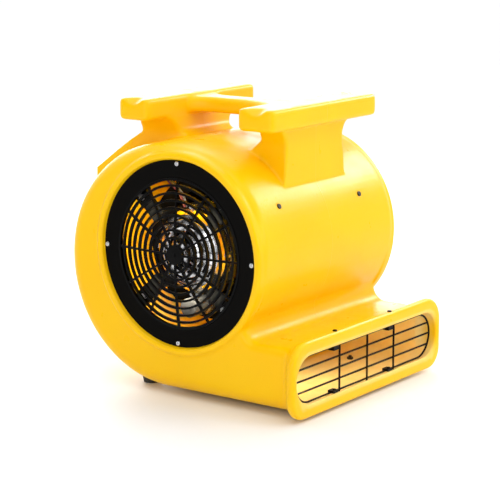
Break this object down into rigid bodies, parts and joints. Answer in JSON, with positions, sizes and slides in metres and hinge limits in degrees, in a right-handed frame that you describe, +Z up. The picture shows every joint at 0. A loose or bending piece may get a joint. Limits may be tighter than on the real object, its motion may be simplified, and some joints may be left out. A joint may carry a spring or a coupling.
{
  "type": "carpet dryer air mover",
  "caption": "Low snail-shaped centrifugal floor blower with a wide flat outlet at floor level, caged side inlets, a built-in top handle and a rear speed knob.",
  "frame": {"origin": "on the floor under the middle of the overall bounding box; the fan axis is 253 mm above it", "axes": "+Z up, -Y the way the outlet blows, +X to the right when facing the same way as +Y; the fan axis lies along X and the motor hangs in the -X inlet"},
  "size_m": [0.472, 0.524, 0.505],
  "materials": {
    "casing_yellow": "semi-gloss moulded",
    "ring_black": "satin",
    "wire_black": "satin",
    "screw_bright": "polished",
    "screw_black": "blackened",
    "motor_alloy": "as cast and machined",
    "motor_paint": "satin silver",
    "bearing_steel": "ground",
    "core_steel": "stacked sheet",
    "winding_copper": "varnished copper",
    "shaft_steel": "ground",
    "zinc_steel": "zinc plated",
    "cradle_black": "satin",
    "bush_rubber": "matte",
    "foot_rubber": "matte",
    "wheel_black": "moulded",
    "clip_black": "moulded",
    "plug_black": "moulded",
    "switch_black": "moulded",
    "works_grey": "moulded",
    "gland_black": "moulded",
    "lead_red": "matte",
    "lead_black": "matte",
    "capacitor_black": "moulded"
  },
  "bodies": {
    "casing": {"housing": "casing_yellow", "left_inlet_ring": "ring_black", "left_guard": "wire_black", "left_ring_screws": "screw_bright", "right_inlet_ring": "ring_black", "right_guard": "wire_black", "right_ring_screws": "screw_bright", "motor_outer_bell": "motor_alloy", "motor_can": "motor_paint", "motor_inner_bell": "motor_alloy", "bearing_outer": "bearing_steel", "bearing_inner": "bearing_steel", "stator_core": "core_steel", "stator_windings": "winding_copper", "motor_tie_bolts": "zinc_steel", "motor_cradle": "cradle_black", "cradle_straps": "cradle_black", "cradle_bolts": "zinc_steel", "cradle_nuts": "zinc_steel", "cradle_bushes": "bush_rubber", "cradle_studs": "zinc_steel", "outlet_grille": "wire_black", "lower_clips": "clip_black", "upper_clips": "clip_black", "lower_clip_screws": "screw_bright", "upper_clip_screws": "screw_bright", "rubber_feet": "foot_rubber", "foot_screws": "screw_black", "bar_plugs": "plug_black", "shoulder_screws": "screw_black", "switch_plate": "switch_black", "switch_works": "works_grey", "switch_screws": "screw_bright", "gland_body": "gland_black", "gland_lock_nut": "gland_black", "gland_cap": "gland_black", "lead_red": "lead_red", "lead_black": "lead_black", "mains_lead_tail": "lead_black", "capacitor": "capacitor_black", "capacitor_strap": "zinc_steel"},
    "fan": {"fan_wheel": "wheel_black", "wheel_hub": "motor_alloy", "hub_set_screw": "screw_black", "motor_shaft": "shaft_steel", "rotor_core": "core_steel"},
    "knob": {"switch_knob": "switch_black", "switch_spindle": "zinc_steel"}
  },
  "joints": [
    {"name": "fan_spin", "type": "hinge", "parent": "casing", "child": "fan", "pos_m": [0, 0, 0.253], "axis": [-1, 0, 0], "continuous": true},
    {"name": "speed_knob_turn", "type": "hinge", "parent": "casing", "child": "knob", "pos_m": [0, 0.212, 0.4035], "axis": [0, 0.5896, 0.8077], "range_deg": [0, 135]}
  ]
}
